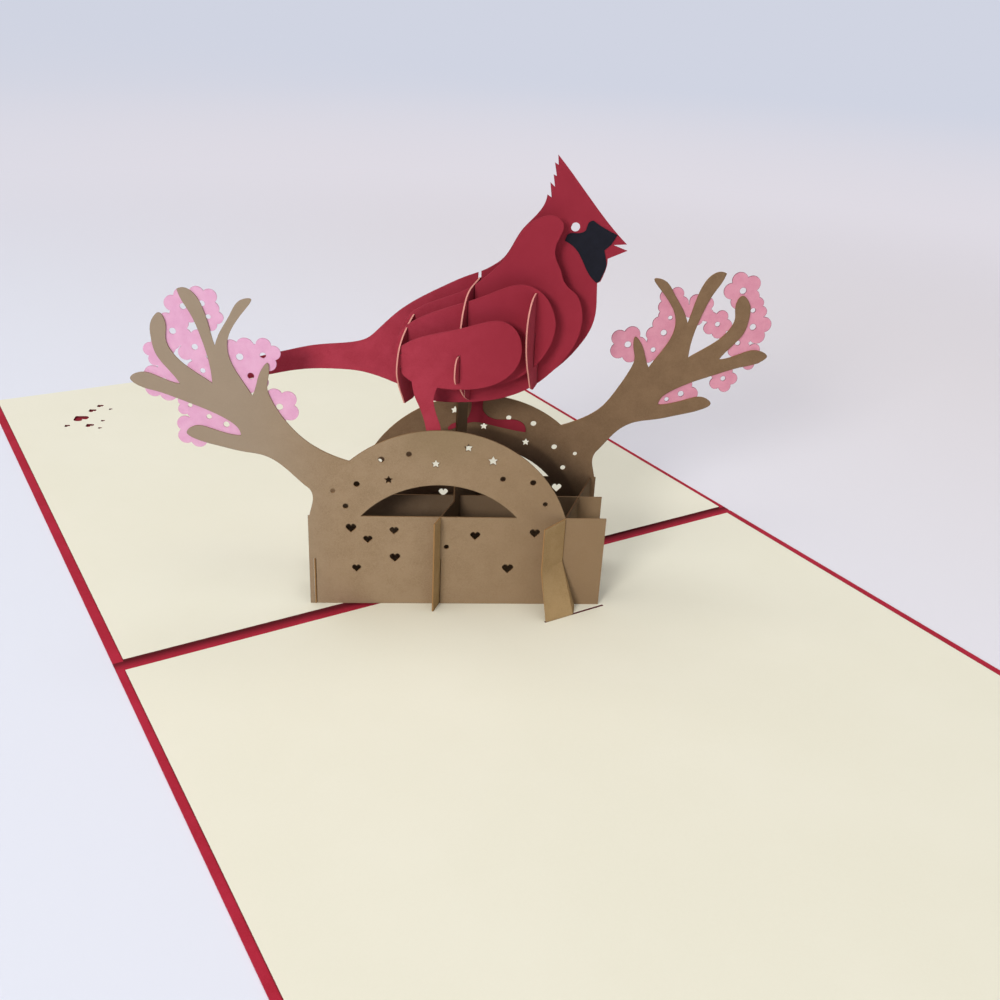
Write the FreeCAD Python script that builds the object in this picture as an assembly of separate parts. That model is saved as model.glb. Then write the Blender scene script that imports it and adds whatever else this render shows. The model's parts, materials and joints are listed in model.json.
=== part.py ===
"""Pop up card, opened flat: a cover with two pages, and a slotted scene of a bird on two arches.

The lattice is made of long walls that run along the scene and cross walls that lie across them at a slant.
It is the same after half a turn about the upright axis through its middle, which stands on the fold, apart
from the far branch, which spreads wider than the near one.
"""
import FreeCAD, Part
import math
import os

os.makedirs("parts", exist_ok=True)

Vector = FreeCAD.Vector
UP = Vector(0, 0, 1)

# Cover and pages
page_square = 150.0            # side of the closed card
cover_thickness = 0.35
page_thickness = 0.50
side_margin = 1.9              # red that shows left and right of a page in the middle
near_page_shift = -0.5         # the near page is glued a little to the left
end_margin = 1.0               # red that shows at the near and far ends
fold_gap = 3.5                 # red that shows between the pages
score_width = 0.8
score_depth = 0.12
heart_turn = 20                # degrees that the hearts in the page are turned by

# Card stocks and fits
kraft = 0.28
red_card = 0.28
pink_card = 0.24
black_card = 0.16
fit = 0.12                     # spare width in a slot

# Lattice
scene_turn = -27.3             # degrees from the fold to the long walls
lattice_angle = 68.2           # degrees between long walls and cross walls
middle_on_fold = -3.55         # where the lattice's middle stands along the fold
row_gap = 10.0                 # from one long wall to the next, square to them
column_gap = 25.0              # from one cross wall to the next, along the long walls
wall_height = 20.0
lap_height = 10.4              # where the slots of two crossing walls meet

# Long walls
branch_end = 1.1               # what a panel has beyond its outer cross wall at the branch
plain_end = 8.3                # the same at its other end
middle_end = 4.9               # the same at both ends of the middle wall
branch_inset = 0.4             # from a panel's end to the foot of its branch
far_spread = 0.134             # by how much the far branch is wider than the near one
far_lift = 1.02                # and how many times as high
still_line = -13.1             # the upright line from which the far branch spreads
foot_blend = 6.0               # along its foot the spread fades out over this length

# Arch
arch_half_width = 25.3
arch_rise = 18.5               # crown of the arch above the wall
arch_shift = -0.3              # from the centre cross wall to the middle of the near arch
window_half_width = 15.5
window_rise = 7.0

# Cross walls
centre_reach = 3.5             # what the centre cross wall has outside the outer long walls
plain_reach = 0.15             # the same at the plain end of the outer cross walls
flap_run = (-6.6, -2.4)        # from the crossing to the upper end of the flap, along the fold and off it
hinge_reach = 0.5              # from the crossing to the line where the flap starts
neck_half_width = 3.1
belly_lap = 3.6                # above the perch, where the slots of neck and bird meet
neck_grip = 0.9                # depth of the neck's slot

# Tab through the page
slit_distance = 23.2           # from the fold to the slit
slit_start = 4.0               # along the fold
slit_length = 14.6
slit_width = 0.5
foot_start = 4.3               # the foot of the flap, along the slit
foot_width = 6.6
web_foot = (12.9, -20.7)       # the corner of the flap that stands on the page beside the slit
web_lift = 0.06
tab_inset = 0.5
tab_leaf = 6.0                 # the part of the tab that is glued under the page
hollow_height = 0.31

# Bird
wing_row = row_gap - (kraft + red_card) / 2
body_rows = (0.0, wing_row / 3, wing_row * 2 / 3)
eye = (19.95, 37.2)            # along the bird from the neck, and above the perch
eye_radius = 0.85
far_foot_shift = 1.4           # the far foot stands a little further along
rear_rib = -8.4                # along the bird from the neck
middle_rib = 2.5
front_rib = 15.3
rear_lap = 13.5                # above the perch, where the slots of rib and layers meet
middle_lap = 15.0
front_lap = 18.5
wing_slit = (9.6, 14.9)        # the heights between which the middle rib comes through the wing
wing_hook = (12.4, 15.0)       # the heights of the hook that holds the wing to the rear rib
hook_reach = 0.4

# Blossoms, as shares of a flower's reach
petals_per_flower = 5
petal_step = 0.57              # from the flower's middle to the middle of a petal
petal_radius = 0.42
core_radius = 0.45
eyelet_radius = 0.17
turn_between = 23              # degrees by which each flower is turned from the last

# Lattice geometry
page_top = cover_thickness + page_thickness
perch = wall_height + arch_rise
lean = 1 / math.tan(math.radians(lattice_angle))
slant = 1 / math.sin(math.radians(lattice_angle))
along = Vector(math.cos(math.radians(scene_turn)), math.sin(math.radians(scene_turn)), 0)
square = Vector(-along.y, along.x, 0)
across = (square + along * lean).normalize()
cross_turn = scene_turn + lattice_angle
middle = Vector(middle_on_fold, 0, page_top)
outer_row = row_gap * slant    # from the middle to an outer long wall, along a cross wall


def half_turn(shape):
    """The same piece at the other side of the lattice."""
    turned = shape.copy()
    turned.rotate(middle, UP, 180)
    return turned


def stand_long(solid, row, lift=0.0):
    """Stand a sheet along the scene, so far behind the middle wall."""
    foot = middle + square * row + along * (lean * row) + UP * lift
    placed = solid.copy()
    placed.Placement = FreeCAD.Placement(foot, FreeCAD.Rotation(UP, scene_turn))
    return placed


def stand_cross(solid, column, lift=0.0):
    """Stand a sheet across the scene, so far along it."""
    placed = solid.copy()
    foot = middle + along * column + UP * lift
    placed.Placement = FreeCAD.Placement(foot, FreeCAD.Rotation(UP, cross_turn))
    return placed


def flat(x, z):
    return Vector(x, 0, z)


def face_of(*runs):
    """A drawn face. Each run is one smooth stretch, and two runs meet in a corner."""
    edges = []
    for i, run in enumerate(runs):
        points = [flat(*point) for point in run]
        next_start = flat(*runs[(i + 1) % len(runs)][0])
        if len(points) == 2:
            edges.append(Part.LineSegment(points[0], points[1]).toShape())
        if len(points) > 2:
            curve = Part.BSplineCurve()
            curve.interpolate(Points=points)
            edges.append(curve.toShape())
        if points[-1].distanceToPoint(next_start) > 1e-6:
            edges.append(Part.LineSegment(points[-1], next_start).toShape())
    return Part.Face(Part.Wire(edges))


def rectangle(x0, z0, x1, z1):
    corners = [flat(x0, z0), flat(x1, z0), flat(x1, z1), flat(x0, z1), flat(x0, z0)]
    return Part.Face(Part.makePolygon(corners))


def disc(x, z, radius):
    return Part.Face(Part.Wire(Part.makeCircle(radius, flat(x, z), Vector(0, -1, 0))))


def bow(x, base, half_width, rise):
    """What lies between a level chord and an arc above it."""
    left = flat(x - half_width, base)
    right = flat(x + half_width, base)
    arc = Part.Arc(left, flat(x, base + rise), right).toShape()
    return Part.Face(Part.Wire([arc, Part.LineSegment(right, left).toShape()]))


def heart(x, z, width):
    """A heart with its tip down."""
    w = width / 2
    shares = [(0, 0.4), (0.5, 0.85), (1, 0.3), (0.5, -0.5), (0, -1)]
    right = [(x + out * w, z + up * w) for out, up in shares]
    left = [(2 * x - px, pz) for px, pz in reversed(right)]
    return face_of(right, left)


def star(x, z, radius):
    points = []
    for i in range(10):
        reach = radius if i % 2 == 0 else radius / 2
        angle = math.pi / 2 + i * math.pi / 5
        points.append(flat(x + reach * math.cos(angle), z + reach * math.sin(angle)))
    return Part.Face(Part.makePolygon(points + points[:1]))


def slab(face, thickness):
    """A drawn face made this thick, with the drawing in its middle."""
    solid = face.extrude(Vector(0, thickness, 0))
    solid.translate(Vector(0, -thickness / 2, 0))
    return solid


def sheet(thickness, drawn, holes=()):
    """One cut sheet: the drawn faces together, less the holes."""
    solids = [slab(face, thickness) for face in drawn]
    whole = solids[0]
    if len(solids) > 1:
        whole = whole.fuse(solids[1:]).removeSplitter()
    if holes:
        whole = whole.cut([slab(face, 3 * thickness) for face in holes])
    return whole


def slot_half(passing, own):
    """Half the width of a square-cut slot that lets a sheet through at the lattice's slant."""
    return (passing * slant + own * lean + fit) / 2


def save(shape, node):
    solids = shape.Solids
    whole = solids[0] if len(solids) == 1 else Part.makeCompound(solids)
    whole.exportStep(f"parts/{node}.step")
    state = "valid" if whole.isValid() else "NOT VALID"
    print(node, len(solids), "solid", round(whole.Volume, 2), "mm3", state)


# Cover and pages

def make_cover():
    """One sheet lying open, with a score line along its fold."""
    sheet = Part.makeBox(page_square, 2 * page_square, cover_thickness)
    sheet.translate(Vector(-page_square / 2, -page_square, 0))
    left = Vector(-page_square, -score_width / 2, cover_thickness)
    right = Vector(-page_square, score_width / 2, cover_thickness)
    deep = Vector(-page_square, 0, cover_thickness - score_depth)
    score = Part.Face(Part.makePolygon([left, deep, right, left])).extrude(Vector(2 * page_square, 0, 0))
    return sheet.cut(score)


def make_blank(shift):
    """A page on the near half of the cover, so far to the right of its middle."""
    width = page_square - 2 * side_margin
    depth = page_square - end_margin - fold_gap / 2
    page = Part.makeBox(width, depth, page_thickness)
    page.translate(Vector(shift - width / 2, -fold_gap / 2 - depth, cover_thickness))
    return page


def make_tab_cut():
    """The slit in the near page, and the hollow under it that the tab's leaf lies in."""
    slit = Part.makeBox(slit_length, slit_width, 3 * page_thickness)
    slit.translate(Vector(slit_start, -slit_distance - slit_width / 2, 0))
    hollow = Part.makeBox(foot_width + fit, tab_leaf + slit_width, hollow_height)
    hollow.translate(Vector(foot_start - fit / 2, -slit_distance - tab_leaf - fit, cover_thickness))
    return slit.fuse(hollow)


def make_back_page():
    """The far page: its own slit, and small hearts blown along its left corner."""
    page = make_blank(0)
    page.rotate(Vector(0, 0, 0), UP, 180)
    page = page.cut(half_turn(make_tab_cut()))
    for x, y, width in [
        (-55.0, 125.6, 4.4), (-50.8, 130.2, 2.3), (-48.0, 133.0, 2.0), (-53.9, 119.3, 2.4),
        (-59.4, 121.4, 1.6), (-49.9, 121.2, 1.2), (-51.8, 116.2, 1.1), (-45.9, 129.2, 1.1),
    ]:
        cut = heart(0, 0, width).extrude(Vector(0, 4 * page_thickness, 0))
        cut.rotate(Vector(0, 0, 0), Vector(1, 0, 0), 90)
        cut.rotate(Vector(0, 0, 0), UP, heart_turn)
        cut.translate(Vector(x, y, 0))
        page = page.cut(cut)
    return page


# Long walls, drawn from the foot of the branch on the wall's top

def spread_out(x):
    """Where a point of the near branch lies on the far one."""
    blend = min(1.0, max(0.0, -x / foot_blend))
    return x + far_spread * (x - still_line) * blend


def branch_face(wide):
    """The branch with five twigs: the near one, or the far one where wide is true."""
    runs = [
        [(-0.1, 0), (0.3, 1.6), (0.7, 4.2), (0.3, 5.6), (-0.5, 6.4)],
        [(-0.5, 6.4), (-3.2, 9.1), (-5.6, 11.3), (-8.3, 12.8), (-12.0, 13.5), (-16.8, 14.7), (-20.6, 15.9),
         (-22.3, 17.3), (-21.0, 18.5), (-18.0, 18.2), (-15.0, 17.2), (-12.3, 16.8)],
        [(-12.3, 16.8), (-12.7, 18.2), (-14.4, 19.8), (-17.2, 21.4), (-22.6, 23.7), (-27.2, 25.4),
         (-30.4, 26.5), (-31.6, 27.8), (-30.0, 28.9), (-27.0, 28.4), (-22.7, 26.9)],
        [(-22.7, 26.9), (-24.6, 29.6), (-26.6, 32.6), (-27.2, 36.0), (-26.7, 39.0), (-25.4, 40.2),
         (-24.4, 38.4), (-24.6, 35.4), (-23.6, 32.8), (-21.4, 30.4), (-16.9, 27.1)],
        [(-16.9, 27.1), (-17.2, 31.0), (-18.5, 36.4), (-20.0, 40.4), (-21.3, 42.8), (-21.9, 44.6)],
        [(-21.9, 44.6), (-20.4, 44.8), (-18.9, 43.7), (-17.7, 41.4), (-16.8, 38.0), (-16.0, 34.3)],
        [(-16.0, 34.3), (-15.1, 36.6), (-13.0, 40.1), (-10.3, 43.1), (-9.1, 43.1), (-10.0, 41.4),
         (-12.2, 38.5), (-13.6, 35.6), (-13.7, 32.8), (-12.0, 28.6), (-9.8, 24.8)],
        [(-9.8, 24.8), (-8.9, 27.2), (-7.9, 29.9), (-6.7, 31.2), (-6.5, 29.6), (-7.0, 26.4), (-6.2, 23.8),
         (-3.2, 19.0), (-0.4, 16.1), (3.4, 13.6), (8.4, 11.7)],
        [(12.0, 9.6)],
        [(8.0, 0)],
    ]
    if wide:
        runs = [[(spread_out(x), far_lift * z) for x, z in run] for run in runs]
    return face_of(*runs)


def long_slots():
    """Slots that open at the foot of a long wall, one at each cross wall."""
    half = slot_half(kraft, kraft)
    return [rectangle(x - half, -1, x + half, lap_height) for x in (-column_gap, 0, column_gap)]


def make_arch_panel(wide):
    """A panel in one piece: wall, arch with a window, and branch, with holes in the wall and the arch."""
    left = -column_gap - branch_end
    drawn_from = flat(left + branch_inset, wall_height)
    branch = branch_face(wide)
    branch.translate(drawn_from)
    wall = rectangle(left, 0, column_gap + plain_end, wall_height)
    arch = bow(arch_shift, wall_height, arch_half_width, arch_rise)
    window = bow(arch_shift, wall_height, window_half_width, window_rise)
    holes = []
    for x, z, width in [
        (8.0, -2.6, 2.1), (16.5, -3.1, 1.8), (11.3, -5.1, 1.8), (16.7, -9.2, 2.1), (9.0, -11.7, 1.8),
        (32.7, -4.1, 2.0), (44.7, -3.4, 2.1), (39.6, -11.6, 2.3),
    ]:
        holes.append(heart(x, z, width))
    for x, z, radius in [
        (27.0, -6.7, 0.5), (4.6, 5.5, 0.45), (9.2, 7.0, 0.6), (7.0, 2.2, 0.55), (14.0, 12.3, 0.6),
        (19.3, 13.5, 0.55), (37.7, 8.5, 0.55), (43.7, 7.8, 0.6), (46.4, 3.1, 0.5),
    ]:
        holes.append(disc(x, z, radius))
    for x, z, radius in [(15.4, 8.0, 0.9), (24.5, 11.5, 0.9), (30.7, 15.0, 0.95), (35.6, 12.3, 1.05)]:
        holes.append(star(x, z, radius))
    for hole in holes:
        hole.translate(drawn_from)
    return stand_long(sheet(kraft, [wall, arch, branch], long_slots() + [window] + holes), -row_gap)


def make_middle_wall():
    reach = column_gap + middle_end
    return stand_long(sheet(kraft, [rectangle(-reach, 0, reach, wall_height)], long_slots()), 0)


# Cross walls

def make_centre_cross_wall():
    """The cross wall whose neck rises between the arches and holds the bird's belly."""
    reach = outer_row + centre_reach
    wall = rectangle(-reach, 0, reach, wall_height)
    neck = rectangle(-neck_half_width, wall_height, neck_half_width, perch + belly_lap + neck_grip)
    half = slot_half(kraft, kraft)
    grip = slot_half(red_card, kraft)
    slots = [
        rectangle(-outer_row - half, lap_height, -outer_row + half, perch),
        rectangle(-half, lap_height, half, wall_height),
        rectangle(outer_row - half, lap_height, outer_row + half, perch),
        rectangle(-grip, perch + belly_lap, grip, 2 * perch),
    ]
    return stand_cross(sheet(kraft, [wall, neck], slots), 0)


def strip_outline(start, end, height):
    """The level section of an upright strip of kraft between two places on the page."""
    side = (end - start).cross(UP).normalize() * (kraft / 2)
    corners = [start - side, end - side, end + side, start + side, start - side]
    return Part.makePolygon([Vector(c.x, c.y, height) for c in corners])


def strip(start, end, low, high):
    return Part.Face(strip_outline(start, end, low)).extrude(UP * (high - low))


def make_right_cross_wall():
    """A cross wall with a flap in front, which twists at its foot into the slit of the page."""
    wall = rectangle(-outer_row - hinge_reach, 0, outer_row + plain_reach, wall_height)
    half = slot_half(kraft, kraft)
    slots = [rectangle(x - half, lap_height, x + half, 2 * wall_height) for x in (-outer_row, 0, outer_row)]
    wall = stand_cross(sheet(kraft, [wall], slots), column_gap)

    crossing = middle + along * column_gap - across * outer_row
    hinge = crossing - across * (half + fit)
    tip = crossing + Vector(*flap_run, 0)
    foot_left = Vector(foot_start, -slit_distance, page_top)
    foot_right = Vector(foot_start + foot_width, -slit_distance, page_top)
    lap = page_top + lap_height
    upper = strip(hinge, tip, lap, page_top + wall_height)
    ends = [strip_outline(foot_right, foot_left, page_top), strip_outline(hinge, tip, lap)]
    lower = Part.makeLoft(ends, True, True)

    top_corner = Vector(hinge.x, hinge.y, lap)
    slit_corner = foot_right + UP * web_lift
    page_corner = Vector(*web_foot, page_top + web_lift)
    normal = (slit_corner - top_corner).cross(page_corner - top_corner).normalize() * kraft
    web = Part.Face(Part.makePolygon([top_corner, slit_corner, page_corner, top_corner]))
    web.translate(normal * -0.5)
    web = web.extrude(normal)

    tab_left = foot_left + Vector(tab_inset, 0, 0)
    tab_right = foot_right - Vector(tab_inset, 0, 0)
    tab = strip(tab_left, tab_right, cover_thickness, page_top)
    leaf = Part.makeBox(foot_width - 2 * tab_inset, tab_leaf, kraft)
    leaf.translate(Vector(tab_left.x, -slit_distance - tab_leaf + kraft / 2, cover_thickness))
    return wall.fuse([upper, lower, web, tab, leaf]).removeSplitter()


# Blossoms, drawn from the foot of the branch on the wall's top

def flower(x, z, reach, turn):
    """A core and round petals that run together."""
    yield disc(x, z, core_radius * reach)
    step = petal_step * reach
    for i in range(petals_per_flower):
        angle = math.radians(turn) + 2 * math.pi * i / petals_per_flower
        yield disc(x + step * math.cos(angle), z + step * math.sin(angle), petal_radius * reach)


def make_sprig(flowers, side):
    """One pink sheet of flowers behind a branch: side is 1 at the near branch and -1 at the far one."""
    foot_of_branch = column_gap + branch_end - branch_inset
    petals = []
    holes = []
    for i, (out, z, reach) in enumerate(flowers):
        x = side * (out - foot_of_branch)
        petals.extend(flower(x, wall_height + z, reach, turn_between * i))
        holes.append(disc(x, wall_height + z, eyelet_radius * reach))
    return stand_long(sheet(pink_card, petals, holes), -side * row_gap + (kraft + pink_card) / 2)


left_upper = [
    (-25.8, 27.2, 3.9), (-26.0, 32.9, 3.0), (-23.4, 36.8, 3.6), (-19.7, 33.9, 3.4), (-21.2, 41.4, 3.4),
    (-17.9, 42.0, 3.3), (-16.9, 39.6, 2.7), (-18.6, 29.4, 2.9), (-14.9, 29.6, 2.4),
    (-11.8, 32.2, 3.9), (-7.6, 32.6, 3.3), (-10.0, 28.6, 3.6),
]
left_lower = [
    (-20.9, 17.7, 3.6), (-15.0, 18.9, 3.4), (-18.1, 20.4, 2.9), (-21.4, 22.6, 2.5), (-10.0, 19.8, 3.2),
    (-5.0, 22.6, 3.8),
]
right_upper = [
    (-4.4, 30.1, 4.0), (-9.8, 29.1, 3.1), (-11.6, 32.8, 3.7), (-12.8, 39.2, 3.3), (-12.6, 36.0, 2.6),
    (-18.4, 37.8, 3.4), (-22.6, 34.9, 3.1), (-24.9, 33.2, 2.1), (-26.9, 42.0, 4.0), (-29.6, 38.0, 3.0),
    (-30.1, 34.5, 3.9), (-27.4, 31.0, 3.1), (-30.2, 28.2, 3.0),
]
right_lower = [(-16.8, 19.6, 3.7), (-13.9, 18.3, 2.8)]
right_outer = [(-25.4, 23.2, 3.1)]


# Bird, drawn along from the neck and up from the perch

def profile_face():
    """The middle sheet: tail, back, toothed crest, open beak, breast and belly."""
    return face_of(
        [(-44.0, 9.2), (-36.7, 11.3), (-32.7, 12.3), (-29.7, 13.0), (-24.7, 13.6), (-20.7, 14.1),
         (-18.7, 14.8), (-16.7, 16.5), (-14.7, 18.5), (-12.7, 20.3), (-9.7, 22.4), (-4.2, 25.4), (0.3, 27.5),
         (3.6, 28.8), (5.3, 29.8), (6.8, 31.0), (7.8, 32.4), (8.8, 34.3), (9.9, 36.2), (12.3, 38.9),
         (13.8, 41.0), (14.3, 42.9)],
        [(15.1, 42.4)], [(14.7, 45.1)], [(15.6, 44.3)], [(15.2, 46.5)], [(15.8, 46.2)], [(15.3, 48.6)],
        [(16.0, 48.2)],
        [(15.8, 50.0), (21.5, 43.4), (28.1, 36.0), (29.9, 34.3)],
        [(27.3, 34.1)],
        [(30.1, 33.1)],
        [(26.5, 31.5), (26.5, 30.4), (26.1, 28.7), (25.5, 27.1)],
        [(24.9, 26.8), (25.1, 23.7), (25.1, 20.7), (24.3, 17.5), (22.5, 14.4), (20.1, 11.4), (16.7, 8.4),
         (13.8, 6.4), (10.2, 4.6), (5.3, 3.2), (0.3, 2.8), (-5.6, 3.3), (-9.7, 4.4), (-13.3, 5.9),
         (-17.2, 7.4), (-20.4, 8.2), (-24.4, 8.5), (-28.3, 8.5), (-32.4, 8.1), (-37.7, 7.0), (-43.3, 5.7)],
    )


def mask_face():
    """The black patch about the beak, with a corner that reaches to the eye."""
    return face_of(
        [(23.3, 38.5), (24.7, 37.6), (26.2, 36.8), (28.0, 36.0)],
        [(27.0, 34.2)],
        [(25.8, 33.1), (26.2, 31.5), (26.4, 30.4), (26.0, 28.7), (25.4, 27.2)],
        [(24.8, 26.9), (23.6, 28.0), (21.8, 31.0), (20.6, 32.9), (19.2, 34.1), (18.2, 34.6)],
        [(18.5, 35.6), (19.4, 36.1), (20.5, 36.1), (21.2, 36.2), (21.9, 36.6), (22.2, 37.5), (23.3, 38.5)],
    )


def shoulder_face():
    """The inner body layer, which rises over the neck like a hood."""
    return face_of(
        [(-11.6, 12.0), (-11.2, 17.2), (-9.4, 20.5), (-6.8, 22.4), (-1.6, 24.5), (1.6, 25.9), (4.1, 27.7),
         (6.1, 29.5), (7.8, 31.3), (9.0, 33.2), (10.5, 36.1), (12.4, 38.3), (14.4, 39.4), (16.2, 39.8),
         (17.7, 39.3), (18.6, 38.0), (18.3, 36.6), (17.6, 35.0), (17.3, 33.1), (17.8, 31.4), (18.6, 29.8),
         (19.2, 28.1), (20.2, 26.7), (21.8, 25.4), (22.9, 23.4), (23.4, 20.5), (23.0, 17.5), (21.9, 14.7),
         (20.1, 12.0), (18.1, 9.8), (15.1, 7.2), (11.6, 5.3), (8.6, 4.3), (4.6, 3.6), (-0.4, 3.3),
         (-4.4, 3.5), (-7.9, 4.7), (-10.4, 7.6), (-11.6, 12.0)],
    )


def flank_face():
    """The outer body layer, a long oval."""
    return face_of(
        [(-10.6, 14.0), (-10.0, 17.5), (-8.6, 19.4), (-6.3, 20.9), (-2.1, 22.7), (2.4, 24.2), (5.9, 25.5),
         (8.9, 26.8), (12.8, 27.7), (15.4, 26.9), (17.2, 25.4), (18.5, 23.2), (19.2, 20.5), (18.9, 17.5),
         (17.7, 14.7), (15.9, 12.2), (13.8, 10.4), (10.9, 8.8), (6.9, 7.7), (2.9, 7.1), (-1.1, 7.1),
         (-5.1, 8.1), (-8.6, 10.5), (-10.6, 14.0)],
    )


def make_wing(row, foot_shift):
    """The outermost layer in one piece with a leg, whose foot is glued to the inner side of the arch."""
    half = slot_half(red_card, red_card)
    end = rear_rib + half
    s = foot_shift
    wing = face_of(
        [(end, 16.5), (-5.8, 17.8), (-2.3, 18.9), (1.2, 19.7), (4.2, 20.5), (7.2, 21.4), (9.4, 21.7),
         (11.2, 21.3), (12.8, 20.1), (13.8, 18.2), (14.1, 15.8), (13.5, 13.3), (12.2, 11.4), (10.2, 9.9),
         (7.4, 8.8), (3.2, 8.3), (-1.0, 8.5), (-5.0, 9.2), (-7.0, 10.2), (end, 11.4)],
    )
    hook = rectangle(rear_rib - hook_reach, wing_hook[0], end + 1, wing_hook[1])
    leg = face_of(
        [(-6.5, 12.0), (-6.0, 8.5), (-5.6, 6.8), (-4.7, 4.7), (-3.9, 2.5), (-3.3 + s, -0.1),
         (-3.1 + s, -4.0), (-3.7 + s, -5.3), (-5.9 + s, -6.2), (-7.7 + s, -7.5)],
        [(-7.5 + s, -7.9), (-6.0 + s, -7.3), (-4.0 + s, -6.4), (-2.5 + s, -6.0), (-0.7 + s, -6.1),
         (1.5 + s, -6.6), (4.0 + s, -7.2), (8.8 + s, -8.1)],
        [(8.8 + s, -7.6), (8.2 + s, -6.2), (7.0 + s, -5.5), (3.1 + s, -5.4), (0.6 + s, -4.6),
         (-0.5 + s, -3.0), (-0.5 + s, 0.1), (-1.2, 2.5), (-1.8, 4.5), (-2.0, 6.5), (-1.4, 8.6), (-1.0, 12.0)],
    )
    slit = rectangle(middle_rib - half, wing_slit[0], middle_rib + half, wing_slit[1])
    return stand_long(sheet(red_card, [wing, hook, leg], [slit]), row, perch)


def make_layer(face, row, holes=()):
    """A body layer with the slots for the three ribs."""
    half = slot_half(red_card, red_card)
    slots = [
        rectangle(rear_rib - half, -perch, rear_rib + half, rear_lap),
        rectangle(middle_rib - half, middle_lap, middle_rib + half, perch * 2),
        rectangle(front_rib - half, -perch, front_rib + half, front_lap),
    ]
    return stand_long(sheet(red_card, [face], slots + list(holes)), row, perch)


def make_profile():
    grip = slot_half(kraft, red_card)
    notch = rectangle(-grip, -perch, grip, belly_lap)
    return make_layer(profile_face(), 0, [notch, disc(*eye, eye_radius)])


def make_mask(side):
    """The face patch on one side of the head: side is -1 for the near one and 1 for the far one."""
    patch = sheet(black_card, [mask_face()], [disc(*eye, eye_radius)])
    return stand_long(patch, side * (red_card + black_card) / 2, perch)


def rib_face(*runs):
    """A rib drawn as one half, from its top to its foot: how far out from the middle, and how high."""
    right = [[(out * slant, height) for out, height in run] for run in runs]
    left = [[(-x, height) for x, height in reversed(run)] for run in reversed(right)]
    return face_of(*right, *left)


def make_rib(face, column, low, high, slits=()):
    """A rib with slots at all body layers between these heights."""
    half = slot_half(red_card, red_card)
    rows = [-row for row in body_rows[1:]] + list(body_rows)
    slots = [rectangle(row * slant - half, low, row * slant + half, high) for row in rows]
    return stand_cross(sheet(red_card, [face], slots + list(slits)), column, perch)


def make_rear_rib():
    face = rib_face(
        [(0.0, 18.4), (3.0, 18.8)],
        [(3.2, 20.9), (5.2, 20.0), (7.4, 18.7), (9.0, 17.4), (10.2, 15.8), (10.9, 13.8), (11.1, 11.9),
         (10.5, 9.6), (9.2, 7.2), (7.6, 4.5)],
        [(3.9, 4.2), (0.0, 5.0)],
    )
    half = slot_half(red_card, red_card)
    low = wing_hook[0] - fit
    high = wing_hook[1] + fit
    slits = [rectangle(x - half, low, x + half, high) for x in (-wing_row * slant, wing_row * slant)]
    return make_rib(face, rear_rib, rear_lap, perch, slits)


def make_middle_rib():
    """The rib whose outer edges come through the wings."""
    inside = wing_row - red_card / 2 - fit
    tab_low = wing_slit[0] + fit
    tab_high = wing_slit[1] - fit
    face = rib_face(
        [(0.0, 27.2), (3.8, 26.5), (6.3, 25.5), (7.6, 24.0), (8.6, 22.1), (9.2, 20.2), (inside, 18.0),
         (inside, tab_high)],
        [(10.2, tab_high), (11.0, 14.3), (11.6, 12.6), (11.6, 10.9), (11.0, tab_low)],
        [(inside, tab_low), (8.9, 8.4), (8.1, 7.4), (6.6, 5.8), (5.0, 4.7), (3.5, 3.9), (1.6, 3.3),
         (0.0, 3.2)],
    )
    return make_rib(face, middle_rib, -perch, middle_lap)


def make_front_rib():
    face = rib_face(
        [(0.0, 24.4), (3.5, 25.4), (6.4, 26.3), (8.6, 25.6), (10.2, 23.8), (11.1, 21.3), (11.2, 18.9),
         (10.9, 16.6), (10.0, 13.7), (8.5, 10.7), (7.1, 7.9)],
        [(5.5, 7.0), (3.2, 7.2), (0.0, 8.0)],
    )
    return make_rib(face, front_rib, front_lap, perch)


right_cross_wall = make_right_cross_wall()
save(make_cover(), "cover")
save(make_blank(near_page_shift).cut(make_tab_cut()), "front_page")
save(make_back_page(), "back_page")
save(make_arch_panel(False), "front_arch_panel")
save(half_turn(make_arch_panel(True)), "back_arch_panel")
save(make_middle_wall(), "middle_wall")
save(half_turn(right_cross_wall), "left_cross_wall")
save(make_centre_cross_wall(), "centre_cross_wall")
save(right_cross_wall, "right_cross_wall")
save(make_sprig(left_upper, 1), "left_upper_blossoms")
save(make_sprig(left_lower, 1), "left_lower_blossoms")
save(make_sprig(right_upper, -1), "right_upper_blossoms")
save(make_sprig(right_lower, -1), "right_lower_blossoms")
save(make_sprig(right_outer, -1), "right_outer_blossom")
save(make_profile(), "bird_profile")
for name, side, foot_shift in (("near", -1, 0.0), ("far", 1, far_foot_shift)):
    save(make_layer(shoulder_face(), side * body_rows[1]), name + "_shoulder_layer")
    save(make_layer(flank_face(), side * body_rows[2]), name + "_flank_layer")
    save(make_wing(side * wing_row, foot_shift), name + "_wing")
    save(make_mask(side), name + "_face_mask")
save(make_rear_rib(), "rear_rib")
save(make_middle_rib(), "middle_rib")
save(make_front_rib(), "front_rib")
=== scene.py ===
# %% [markdown]
# A pop up card in laser-cut paper
#
# The card lies open on a pale table. A scene of slotted sheets stands on its fold: a red bird on two kraft
# arches, with a branch at each side and pink blossoms behind the branches. Nearly everything on the real card
# is one flat sheet with a cut outline, so the outlines come from the imported solids, and this lesson is about
# what makes flat sheets look like paper: the mottle and fibre of each stock, the browned or pale line that a
# laser leaves along a cut, and the soft light that falls between the layers, deepened by painted shade.

# %% Load the frame
import json
import math

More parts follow.
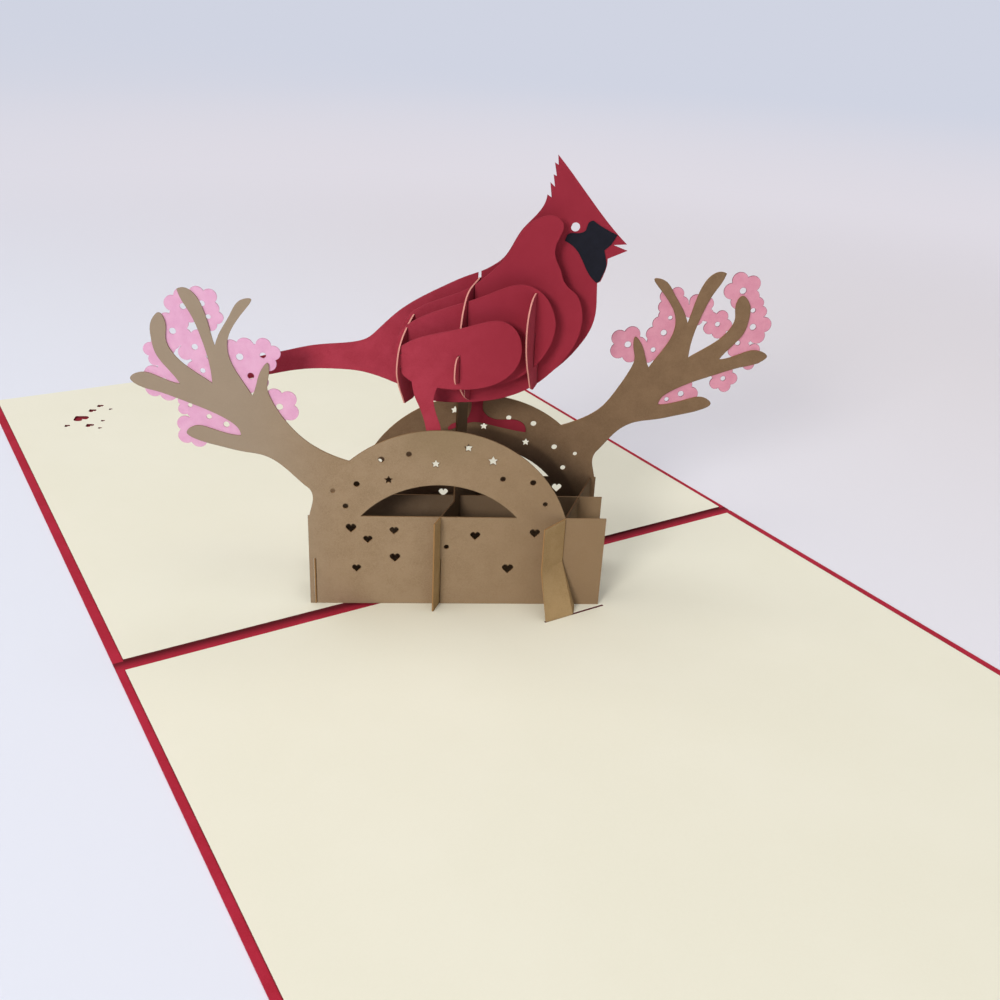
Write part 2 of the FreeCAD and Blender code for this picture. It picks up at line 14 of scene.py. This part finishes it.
import bmesh
import bpy
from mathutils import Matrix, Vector


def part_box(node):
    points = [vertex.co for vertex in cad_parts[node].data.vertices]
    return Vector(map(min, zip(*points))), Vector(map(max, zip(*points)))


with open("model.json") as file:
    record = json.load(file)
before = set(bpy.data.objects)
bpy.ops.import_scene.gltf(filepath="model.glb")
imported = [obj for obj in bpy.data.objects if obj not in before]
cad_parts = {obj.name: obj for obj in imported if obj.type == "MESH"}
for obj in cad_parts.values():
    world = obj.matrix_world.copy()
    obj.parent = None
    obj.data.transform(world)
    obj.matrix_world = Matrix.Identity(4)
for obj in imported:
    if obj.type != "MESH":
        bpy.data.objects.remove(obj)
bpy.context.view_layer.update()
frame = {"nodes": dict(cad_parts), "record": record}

# %% [markdown]
# The photographer stood low over the near left corner of the card. The camera's place and turn were solved
# from the corners of the pages and the upright edges of the walls. The middle of the lens frame is kept, so
# the camera needs no shift, and depth of field stays off.

# %% Camera
mm = 0.001
page_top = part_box("front_page")[1].z
camera_place = Vector((-102.74, -171.40, 115.69)) * mm + Vector((0, 0, page_top))
camera_turn = (64.015, -2.723, -31.195)
lens_length = 38.16

bpy.ops.object.camera_add(location=camera_place, rotation=[math.radians(a) for a in camera_turn])
camera = bpy.context.object
camera.name = "photo_camera"
camera.data.lens = lens_length
camera.data.sensor_width = 36.0
camera.data.clip_start = 0.01
bpy.context.scene.camera = camera
print("camera looks down by", round(90 - camera_turn[0], 1), "degrees")

# %% [markdown]
# Colours are noted as they look on a screen, from 0 to 255, and turned into the linear values that shaders
# use. View transform Standard shows them without a film curve, so a plainly lit colour comes out as written.


# %% Colours and small helpers
def screen(red, green, blue):
    """A linear colour from its values on a screen."""
    def linear(c):
        c = c / 255
        return c / 12.92 if c <= 0.04045 else ((c + 0.055) / 1.055) ** 2.4
    return (linear(red), linear(green), linear(blue), 1.0)


def deselect():
    bpy.ops.object.select_all(action="DESELECT")


bpy.context.scene.view_settings.view_transform = "Standard"

# %% [markdown]
# The table is one pale sweep: a plane whose far edge is drawn up into a wall, with the corner rounded, so no
# line shows behind the card. It is modelled as by hand: add a plane, extrude its far edge, bevel the corner.

# %% Table and backdrop
sweep_size = 6.0
sweep_back = 2.2
sweep_height = 3.0
corner_radius = 1.2
table_drop = 0.02 * mm


def select_edges(mesh, wanted):
    """Select only the edges whose two ends pass the test."""
    edit = bmesh.from_edit_mesh(mesh)
    for vert in edit.verts:
        vert.select = False
    edit.select_flush(False)
    for edge in edit.edges:
        if all(wanted(vert.co) for vert in edge.verts):
            edge.select = True
    edit.select_flush_mode()
    bmesh.update_edit_mesh(mesh)


deselect()
bpy.ops.mesh.primitive_plane_add(size=sweep_size, location=(0, sweep_back - sweep_size / 2, -table_drop))
table = bpy.context.object
table.name = "table_sweep"
bpy.ops.object.transform_apply(location=True)
bpy.ops.object.mode_set(mode="EDIT")
bpy.ops.mesh.select_mode(type="EDGE")
select_edges(table.data, lambda p: p.y > sweep_back - 0.01)
bpy.ops.mesh.extrude_region_move(TRANSFORM_OT_translate={"value": (0, 0, sweep_height)})
select_edges(table.data, lambda p: p.y > sweep_back - 0.01 and p.z < 0.01)
bpy.ops.mesh.bevel(offset=corner_radius, offset_type="OFFSET", segments=24, affect="EDGES")
bpy.ops.object.mode_set(mode="OBJECT")
bpy.ops.object.shade_smooth()
print("sweep has", len(table.data.polygons), "faces")

# %% [markdown]
# Every stock on the card shares two effects, so each is a node group with named inputs. The first is the
# paper itself: soft blotches where the pulp is uneven, and a fine felt of fibres with a few stray flecks. It
# reads Object coordinates, because every sheet's mesh already stands in its place.


# %% Node helpers
def new_group(name, inputs, outputs):
    """An empty node group with its named inputs and outputs."""
    group = bpy.data.node_groups.new(name, "ShaderNodeTree")
    for socket, kind, value in inputs:
        made = group.interface.new_socket(name=socket, in_out="INPUT", socket_type=kind)
        made.default_value = value
    for socket, kind in outputs:
        group.interface.new_socket(name=socket, in_out="OUTPUT", socket_type=kind)
    return group, group.nodes.new("NodeGroupInput"), group.nodes.new("NodeGroupOutput")


def math_node(tree, operation, first, second=None):
    """A Math node fed by sockets or numbers; gives its output socket."""
    node = tree.nodes.new("ShaderNodeMath")
    node.operation = operation
    for slot, value in enumerate((first, second)):
        if isinstance(value, bpy.types.NodeSocket):
            tree.links.new(value, node.inputs[slot])
        elif value is not None:
            node.inputs[slot].default_value = value
    return node.outputs[0]


def ramp_between(tree, value, low, high):
    """A smooth step from 0 at low to 1 at high."""
    node = tree.nodes.new("ShaderNodeMapRange")
    node.interpolation_type = "SMOOTHSTEP"
    node.inputs["From Min"].default_value = low
    node.inputs["From Max"].default_value = high
    tree.links.new(value, node.inputs["Value"])
    return node.outputs["Result"]


def mix_colour(tree, amount, first, second):
    """A Mix node between two colours or colour sockets; gives its output socket."""
    node = tree.nodes.new("ShaderNodeMix")
    node.data_type = "RGBA"
    for socket, value in ((node.inputs[0], amount), (node.inputs[6], first), (node.inputs[7], second)):
        if isinstance(value, bpy.types.NodeSocket):
            tree.links.new(value, socket)
        else:
            socket.default_value = value
    return node.outputs[2]


# %% Paper felt group
def make_felt_group():
    """Blotch, Fibre and Fleck masks of a paper, with a Height for its surface."""
    group, given, result = new_group(
        "paper_felt",
        [("Blotch Size", "NodeSocketFloat", 6.0), ("Fibre Size", "NodeSocketFloat", 0.35),
         ("Fleck Amount", "NodeSocketFloat", 0.1)],
        [("Blotch", "NodeSocketFloat"), ("Fibre", "NodeSocketFloat"), ("Fleck", "NodeSocketFloat"),
         ("Height", "NodeSocketFloat")],
    )
    place = group.nodes.new("ShaderNodeTexCoord")
    in_mm = group.nodes.new("ShaderNodeVectorMath")
    in_mm.operation = "SCALE"
    in_mm.inputs["Scale"].default_value = 1 / mm
    group.links.new(place.outputs["Object"], in_mm.inputs[0])

    def noise(scale, detail, roughness, distortion=0.0):
        node = group.nodes.new("ShaderNodeTexNoise")
        node.inputs["Detail"].default_value = detail
        node.inputs["Roughness"].default_value = roughness
        node.inputs["Distortion"].default_value = distortion
        group.links.new(in_mm.outputs[0], node.inputs["Vector"])
        group.links.new(scale, node.inputs["Scale"])
        return node.outputs["Fac"]

    blotch_scale = math_node(group, "DIVIDE", 1.0, given.outputs["Blotch Size"])
    fibre_scale = math_node(group, "DIVIDE", 1.0, given.outputs["Fibre Size"])
    blotch = noise(blotch_scale, 3.0, 0.6)
    fibre = noise(fibre_scale, 4.0, 0.7, 1.6)
    fleck_cells = group.nodes.new("ShaderNodeTexVoronoi")
    fleck_cells.feature = "F1"
    fleck_cells.inputs["Randomness"].default_value = 1.0
    group.links.new(in_mm.outputs[0], fleck_cells.inputs["Vector"])
    group.links.new(math_node(group, "MULTIPLY", fibre_scale, 0.35), fleck_cells.inputs["Scale"])
    near_cell = ramp_between(group, fleck_cells.outputs["Distance"], 0.16, 0.05)
    cell_value = group.nodes.new("ShaderNodeSeparateColor")
    group.links.new(fleck_cells.outputs["Color"], cell_value.inputs["Color"])
    picked = math_node(group, "LESS_THAN", cell_value.outputs["Red"], given.outputs["Fleck Amount"])
    group.links.new(blotch, result.inputs["Blotch"])
    group.links.new(ramp_between(group, fibre, 0.3, 0.7), result.inputs["Fibre"])
    group.links.new(math_node(group, "MULTIPLY", near_cell, picked), result.inputs["Fleck"])
    group.links.new(fibre, result.inputs["Height"])
    return group


felt_group = make_felt_group()
print("felt group has", len(felt_group.nodes), "nodes")

# %% [markdown]
# The second shared effect is the laser's line. A cut sheet has a narrow side as thick as the card, where its
# core shows, and the beam leaves a thin scorched rim on the face along the cut. Side compares the true normal
# with the sheet's own direction. Rim uses a Bevel node, whose softened normal only differs from the true one
# close to an edge, so it finds every outline, slot, star and heart without any painting.


# %% Laser cut group
def make_cut_group():
    """Side is 1 on the cut sides of a sheet, and Rim is 1 on its faces close to a cut."""
    group, given, result = new_group(
        "laser_cut",
        [("Sheet Normal", "NodeSocketVector", (0, 0, 1))],
        [("Side", "NodeSocketFloat"), ("Rim", "NodeSocketFloat")],
    )
    geometry = group.nodes.new("ShaderNodeNewGeometry")
    across = group.nodes.new("ShaderNodeVectorMath")
    across.operation = "DOT_PRODUCT"
    group.links.new(geometry.outputs["True Normal"], across.inputs[0])
    group.links.new(given.outputs["Sheet Normal"], across.inputs[1])
    facing = math_node(group, "ABSOLUTE", across.outputs["Value"])
    side = ramp_between(group, facing, 0.6, 0.4)

    soft = group.nodes.new("ShaderNodeBevel")
    soft.samples = 6
    soft.inputs["Radius"].default_value = 0.24 * mm
    turned = group.nodes.new("ShaderNodeVectorMath")
    turned.operation = "DOT_PRODUCT"
    group.links.new(soft.outputs["Normal"], turned.inputs[0])
    group.links.new(geometry.outputs["True Normal"], turned.inputs[1])
    rim = ramp_between(group, turned.outputs["Value"], 0.985, 0.80)
    on_face = math_node(group, "SUBTRACT", 1.0, side)
    group.links.new(side, result.inputs["Side"])
    group.links.new(math_node(group, "MULTIPLY", rim, on_face), result.inputs["Rim"])
    return group


cut_group = make_cut_group()
print("cut group has", len(cut_group.nodes), "nodes")

# %% [markdown]
# A stock is then one material: its colour, with a darker and a lighter tone for the blotches and fibres, the
# tone of its core at the cut sides and the scorch at the rims. Kraft is the liveliest, with brown blotches
# and dark flecks. The cream pages are nearly even. The same maker builds all of them from named tones.


# %% Paper stocks
def make_stock(name, sheet_normal, tone, dark, light, core, scorch, blotch_size, fibre_size, flecks,
               fibre_strength, rim_strength, roughness, bump):
    """A paper or card as a material. Tones are screen colours; sizes are in millimetres."""
    material = bpy.data.materials.new(name)
    material.use_nodes = True
    tree = material.node_tree
    shader = tree.nodes["Principled BSDF"]
    felt = tree.nodes.new("ShaderNodeGroup")
    felt.node_tree = felt_group
    felt.inputs["Blotch Size"].default_value = blotch_size
    felt.inputs["Fibre Size"].default_value = fibre_size
    felt.inputs["Fleck Amount"].default_value = flecks
    cut = tree.nodes.new("ShaderNodeGroup")
    cut.node_tree = cut_group
    cut.inputs["Sheet Normal"].default_value = sheet_normal

    blotched = mix_colour(tree, ramp_between(tree, felt.outputs["Blotch"], 0.35, 0.68), dark, tone)
    fibres_shown = math_node(tree, "MULTIPLY", felt.outputs["Fibre"], fibre_strength)
    fibrous = mix_colour(tree, fibres_shown, blotched, light)
    flecks_shown = math_node(tree, "MULTIPLY", felt.outputs["Fleck"], 0.6)
    flecked = mix_colour(tree, flecks_shown, fibrous, dark)
    rimmed = mix_colour(tree, math_node(tree, "MULTIPLY", cut.outputs["Rim"], rim_strength), flecked, scorch)
    finished = mix_colour(tree, cut.outputs["Side"], rimmed, core)
    tree.links.new(finished, shader.inputs["Base Color"])

    rough = math_node(tree, "MULTIPLY_ADD", felt.outputs["Fibre"], 0.08)
    rough.node.inputs[2].default_value = roughness
    tree.links.new(rough, shader.inputs["Roughness"])
    shader.inputs["Specular IOR Level"].default_value = 0.25
    raised = tree.nodes.new("ShaderNodeBump")
    raised.inputs["Strength"].default_value = bump
    raised.inputs["Distance"].default_value = 0.05 * mm
    tree.links.new(felt.outputs["Height"], raised.inputs["Height"])
    tree.links.new(raised.outputs["Normal"], shader.inputs["Normal"])
    return material


scene_turn = math.radians(-27.3)
lattice_angle = math.radians(68.2)
along = Vector((math.cos(scene_turn), math.sin(scene_turn), 0))
square = Vector((-along.y, along.x, 0))
across = Vector((math.cos(scene_turn + lattice_angle), math.sin(scene_turn + lattice_angle), 0))
cross_normal = Vector((-across.y, across.x, 0))
lying = Vector((0, 0, 1))


def make_kraft(name, sheet_normal, tone, dark, light):
    return make_stock(
        name, sheet_normal, tone=tone, dark=dark, light=light, core=screen(150, 114, 72),
        scorch=screen(80, 58, 40), blotch_size=4.0, fibre_size=0.35, flecks=0.25, fibre_strength=0.5,
        rim_strength=0.5, roughness=0.88, bump=0.3)


def make_bird_card(name, sheet_normal, core):
    return make_stock(
        name, sheet_normal, tone=screen(170, 53, 71), dark=screen(159, 45, 62), light=screen(190, 76, 92),
        core=core, scorch=screen(104, 16, 28), blotch_size=3.0, fibre_size=0.35, flecks=0.05,
        fibre_strength=0.35, rim_strength=0.2, roughness=0.86, bump=0.4)


def make_blossom_paper(name, tone, dark, light, core, scorch, rim_strength):
    return make_stock(
        name, square, tone=tone, dark=dark, light=light, core=core, scorch=scorch, blotch_size=2.5,
        fibre_size=0.35, flecks=0.0, fibre_strength=0.3, rim_strength=rim_strength, roughness=0.86, bump=0.25)


kraft_near = make_kraft(
    "kraft_near", square, tone=screen(152, 128, 101), dark=screen(143, 119, 92), light=screen(170, 147, 119))
# Painted shade: the far panel's kraft is a darker copy of the same stock.
kraft_far_shaded = make_kraft(
    "kraft_far_shaded", square, tone=screen(128, 101, 75), dark=screen(118, 92, 67), light=screen(144, 118, 91))
# Painted light: the cross walls' kraft is a lighter, more golden copy of the same stock.
kraft_cross_lit = make_kraft(
    "kraft_cross_lit", cross_normal,
    tone=screen(172, 142, 100), dark=screen(162, 132, 90), light=screen(188, 159, 117))
bird_long = make_bird_card("bird_red_long", square, core=screen(150, 50, 64))
bird_cross = make_bird_card("bird_red_cross", cross_normal, core=screen(206, 140, 128))
blossom_cool = make_blossom_paper(
    "blossom_pink_cool", tone=screen(228, 172, 202), dark=screen(222, 160, 194), light=screen(236, 192, 214),
    core=screen(204, 144, 170), scorch=screen(198, 126, 158), rim_strength=0.4)
blossom_warm = make_blossom_paper(
    "blossom_pink_warm", tone=screen(218, 148, 168), dark=screen(210, 136, 158), light=screen(230, 172, 188),
    core=screen(132, 74, 86), scorch=screen(130, 62, 80), rim_strength=1.0)
cover_card = make_stock(
    "cover_red", lying, tone=screen(174, 30, 54), dark=screen(162, 22, 44), light=screen(190, 52, 74),
    core=screen(176, 60, 78), scorch=screen(150, 16, 40), blotch_size=8.0, fibre_size=0.4, flecks=0.0,
    fibre_strength=0.35, rim_strength=0.3, roughness=0.8, bump=0.4)
# The page's core is dark red: painted shade on its cut sides, as they look in the shade of the red fold.
page_paper = make_stock(
    "page_cream", lying, tone=screen(234, 230, 211), dark=screen(232, 228, 208), light=screen(238, 235, 217),
    core=screen(118, 44, 50), scorch=screen(196, 176, 140), blotch_size=40.0, fibre_size=0.6, flecks=0.0,
    fibre_strength=0.2, rim_strength=0.15, roughness=0.85, bump=0.08)
mask_paper = make_stock(
    "mask_black", square, tone=screen(22, 23, 34), dark=screen(17, 18, 28), light=screen(36, 37, 49),
    core=screen(30, 30, 39), scorch=screen(15, 15, 21), blotch_size=2.0, fibre_size=0.3, flecks=0.0,
    fibre_strength=0.35, rim_strength=0.3, roughness=0.84, bump=0.4)

# %% [markdown]
# Narrow gaps look darker in a photograph than lamps alone make them: the groove of the fold, the card under
# the small hearts and the slit by the flap, and the kraft faces that look into the lattice. Each gets painted
# shade, a soft dark place found by where it lies, and the far panel gets the near arch's shadow painted on it.
# The near panel and the bird also get painted shade that grows a little darker to the right, the near arch's
# crown gets painted shade, and the near branch gets painted light, paler and greyer to the left, as they do in
# the photograph.

# %% Painted shade and light
near_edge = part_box("front_page")[1].y
heart_middle = Vector((-53.0, 125.0, 0)) * mm
heart_reach = 14 * mm
slit_middle = Vector((11.3, -23.2, 0)) * mm
slit_reach = 8.5 * mm
neck_low, neck_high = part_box("centre_cross_wall")
lattice_middle = (neck_low + neck_high) / 2
panel_row = 9.95 * mm
lattice_half = 27.0 * mm
row_gap = 10 * mm
crescent_shift = 2.3 * mm
crescent_height = 5.3 * mm
crescent_reach = 26.5 * mm
crown_shift = -4.3 * mm
crown_height = 42 * mm
crown_reach = 14 * mm
crescent_middle = lattice_middle + along * crescent_shift + square * row_gap
crescent_middle.z = page_top + crescent_height
crown_middle = lattice_middle + along * crown_shift - square * row_gap
crown_middle.z = page_top + crown_height


def shade_where(material, mask, strength, tone):
    """Painted shade and painted light: mix another tone into a material's colour where the mask is 1."""
    tree = material.node_tree
    socket = tree.nodes["Principled BSDF"].inputs["Base Color"]
    colour = socket.links[0].from_socket
    shaded = mix_colour(tree, math_node(tree, "MULTIPLY", mask, strength), colour, tone)
    tree.links.new(shaded, socket)


def object_place(tree):
    return tree.nodes.new("ShaderNodeTexCoord").outputs["Object"]


def fold_shade_mask(tree):
    """Painted shade in the groove between the pages, darkest under the edge of the far one."""
    split = tree.nodes.new("ShaderNodeSeparateXYZ")
    tree.links.new(object_place(tree), split.inputs[0])
    rising = ramp_between(tree, split.outputs["Y"], near_edge * 0.5, -near_edge)
    inside = ramp_between(tree, split.outputs["Y"], -near_edge * 1.12, -near_edge)
    return math_node(tree, "MULTIPLY", rising, inside)


def round_mask(tree, middle, reach, soft_edge):
    """1 inside a ball and 0 outside it, with an edge as soft as this length inward."""
    away = tree.nodes.new("ShaderNodeVectorMath")
    away.operation = "DISTANCE"
    away.inputs[1].default_value = middle
    tree.links.new(object_place(tree), away.inputs[0])
    return ramp_between(tree, away.outputs["Value"], reach, reach - soft_edge)


def place_along(tree, direction):
    """Where a point lies in a direction, seen from the lattice's middle."""
    turned = tree.nodes.new("ShaderNodeVectorMath")
    turned.operation = "DOT_PRODUCT"
    turned.inputs[1].default_value = direction
    tree.links.new(object_place(tree), turned.inputs[0])
    return math_node(tree, "SUBTRACT", turned.outputs["Value"], lattice_middle.dot(direction))


def between_panels(tree):
    row = math_node(tree, "ABSOLUTE", place_along(tree, square))
    return ramp_between(tree, row, panel_row + 0.05 * mm, panel_row - 0.05 * mm)


def lattice_shade_mask(tree):
    """Painted shade in the space between the two panels and the outer cross walls."""
    aside = math_node(tree, "ABSOLUTE", place_along(tree, cross_normal))
    beside = ramp_between(tree, aside, lattice_half, lattice_half - 3 * mm)
    return math_node(tree, "MULTIPLY", between_panels(tree), beside)


def crescent_shadow_mask(tree):
    """Painted shadow of the near arch on the inner face of the far panel."""
    shadow = round_mask(tree, crescent_middle, crescent_reach, 1.2 * mm)
    return math_node(tree, "MULTIPLY", between_panels(tree), shadow)


painted_gap_shade = screen(84, 8, 20)
painted_inner_shade = screen(58, 38, 28)
# The fold's groove on the red cover gets painted shade.
shade_where(cover_card, fold_shade_mask(cover_card.node_tree), 0.85, painted_gap_shade)
# Painted shade on the red card seen through the small hearts.
hearts_shaded = round_mask(cover_card.node_tree, heart_middle, heart_reach, 4 * mm)
shade_where(cover_card, hearts_shaded, 0.5, painted_gap_shade)
# Painted shade on the red card seen through the slit by the flap.
slit_shaded = round_mask(cover_card.node_tree, slit_middle, slit_reach, 2.5 * mm)
shade_where(cover_card, slit_shaded, 0.9, screen(40, 14, 12))
# The near arch's shadow is painted on the far panel's kraft.
shade_where(kraft_far_shaded, crescent_shadow_mask(kraft_far_shaded.node_tree), 0.5, painted_inner_shade)
# Kraft faces that look into the lattice get painted shade.
for kraft, strength in ((kraft_near, 0.6), (kraft_cross_lit, 0.7)):
    shade_where(kraft, lattice_shade_mask(kraft.node_tree), strength, painted_inner_shade)

near_place = place_along(kraft_near.node_tree, along)
# Painted shade: the near panel grows darker to the right.
rightward = ramp_between(kraft_near.node_tree, near_place, -16 * mm, 34 * mm)
shade_where(kraft_near, rightward, 0.8, screen(138, 112, 83))
# Painted light: the near branch at the left end is paler and greyer.
leftward_painted_light = ramp_between(kraft_near.node_tree, near_place, -22 * mm, -44 * mm)
shade_where(kraft_near, leftward_painted_light, 0.7, screen(160, 144, 126))
# Painted shade at the crown of the near arch.
crown_shaded = round_mask(kraft_near.node_tree, crown_middle, crown_reach, 10 * mm)
shade_where(kraft_near, crown_shaded, 0.5, screen(134, 114, 84))
# Painted shade: the bird's long sheets grow darker toward the breast.
breastward_shade = ramp_between(bird_long.node_tree, place_along(bird_long.node_tree, along), -16 * mm, 10 * mm)
shade_where(bird_long, breastward_shade, 0.8, screen(144, 35, 51))
print("groove shaded from", round(near_edge / mm, 2), "to", round(-near_edge / mm, 2), "mm")

# %% [markdown]
# Each imported node gets the stock that the record names for it. Long sheets run along the scene and cross
# sheets run across it, so the same card needs two materials that differ in the sheet's direction. The cross
# kraft is also a lighter, more golden copy, painted light on its lit faces, and the far panel's kraft is a
# darker copy, painted shade for the shade it stands in behind the near panel.

# %% Give every sheet its stock
cross_sheets = (
    "left_cross_wall", "centre_cross_wall", "right_cross_wall", "rear_rib", "middle_rib", "front_rib")


def stock_for(node, slot):
    if slot == "kraft":
        if node == "back_arch_panel":
            return kraft_far_shaded
        return kraft_cross_lit if node in cross_sheets else kraft_near
    if slot == "bird_red":
        return bird_cross if node in cross_sheets else bird_long
    if slot == "blossom_pink":
        return blossom_cool if node.startswith("left") else blossom_warm
    return {"cover_red": cover_card, "page_cream": page_paper, "mask_black": mask_paper}[slot]


for entry in frame["record"]["subparts"]:
    sheet = frame["nodes"][entry["node"]]
    for holder in sheet.material_slots:
        holder.material = stock_for(entry["node"], entry["material_slot"])

# %% [markdown]
# Two lamps and a weak world light the card. A window stands low at the left of the camera. Its narrow beam
# throws the near arch's shadow on the far one, where painted shadow deepens it, and the thin shadows at the
# right of each layer of the bird. A wide soft ceiling brightens the pages, which lie flat, and hardly reaches
# in between the walls.

# %% Light
def add_lamp(name, place, target, size, power, colour):
    """A square soft lamp that looks at a point."""
    aim = (Vector(target) - Vector(place)).to_track_quat("-Z", "Y")
    bpy.ops.object.light_add(type="AREA", location=place, rotation=aim.to_euler())
    lamp = bpy.context.object
    lamp.name = name
    lamp.data.size = size
    lamp.data.energy = power
    lamp.data.color = colour
    return lamp


scene_middle = (0, 0, 0.03)
add_lamp("window_light", (-1.2, -0.75, 0.6), scene_middle, 0.4, 13.0, (1.0, 0.985, 0.96))
add_lamp("ceiling_light", (-0.15, 0.1, 1.5), (0, 0, 0), 1.6, 18.5, (1.0, 0.99, 0.98))

world = bpy.data.worlds.new("bright_room")
bpy.context.scene.world = world
world.use_nodes = True
sky = world.node_tree.nodes["Background"]
sky.inputs["Color"].default_value = (0.90, 0.93, 1.0, 1.0)
sky.inputs["Strength"].default_value = 0.22

# %% [markdown]
# The table's paint is bluish at the left and a warm grey at the right. Far from the card, where the lamps no
# longer reach, the backdrop keeps its pale tone for the camera alone, so it puts no light on the card.

# %% Table paint
near_reach = 0.2
far_reach = 0.55
wall_near = 0.45
wall_far = 1.4
side_reach = 0.25


def make_table_paint():
    """A pale matt paint, which turns into an evenly pale backdrop in the distance."""
    material = bpy.data.materials.new("table_paint")
    material.use_nodes = True
    tree = material.node_tree
    shader = tree.nodes["Principled BSDF"]
    place = tree.nodes.new("ShaderNodeTexCoord")
    split = tree.nodes.new("ShaderNodeSeparateXYZ")
    tree.links.new(place.outputs["Object"], split.inputs[0])
    rightward = ramp_between(tree, split.outputs["X"], -side_reach, side_reach)
    paint = mix_colour(tree, rightward, screen(225, 230, 242), screen(230, 225, 229))
    tree.links.new(paint, shader.inputs["Base Color"])
    shader.inputs["Roughness"].default_value = 0.8

    away = tree.nodes.new("ShaderNodeVectorMath")
    away.operation = "LENGTH"
    tree.links.new(place.outputs["Object"], away.inputs[0])
    distant = ramp_between(tree, away.outputs["Value"], near_reach, far_reach)
    ray = tree.nodes.new("ShaderNodeLightPath")
    mirrored = math_node(tree, "MAXIMUM", ray.outputs["Is Glossy Ray"], ray.outputs["Is Transmission Ray"])
    seen = math_node(tree, "MAXIMUM", ray.outputs["Is Camera Ray"], mirrored)
    glow = tree.nodes.new("ShaderNodeEmission")
    floor_tone = mix_colour(tree, rightward, screen(220, 220, 231), screen(223, 219, 227))
    up_the_wall = ramp_between(tree, away.outputs["Value"], wall_near, wall_far)
    tree.links.new(mix_colour(tree, up_the_wall, floor_tone, screen(208, 212, 226)), glow.inputs["Color"])
    blend = tree.nodes.new("ShaderNodeMixShader")
    tree.links.new(math_node(tree, "MULTIPLY", distant, seen), blend.inputs[0])
    tree.links.new(shader.outputs["BSDF"], blend.inputs[1])
    tree.links.new(glow.outputs["Emission"], blend.inputs[2])
    tree.links.new(blend.outputs["Shader"], tree.nodes["Material Output"].inputs["Surface"])
    return material


table.data.materials.append(make_table_paint())
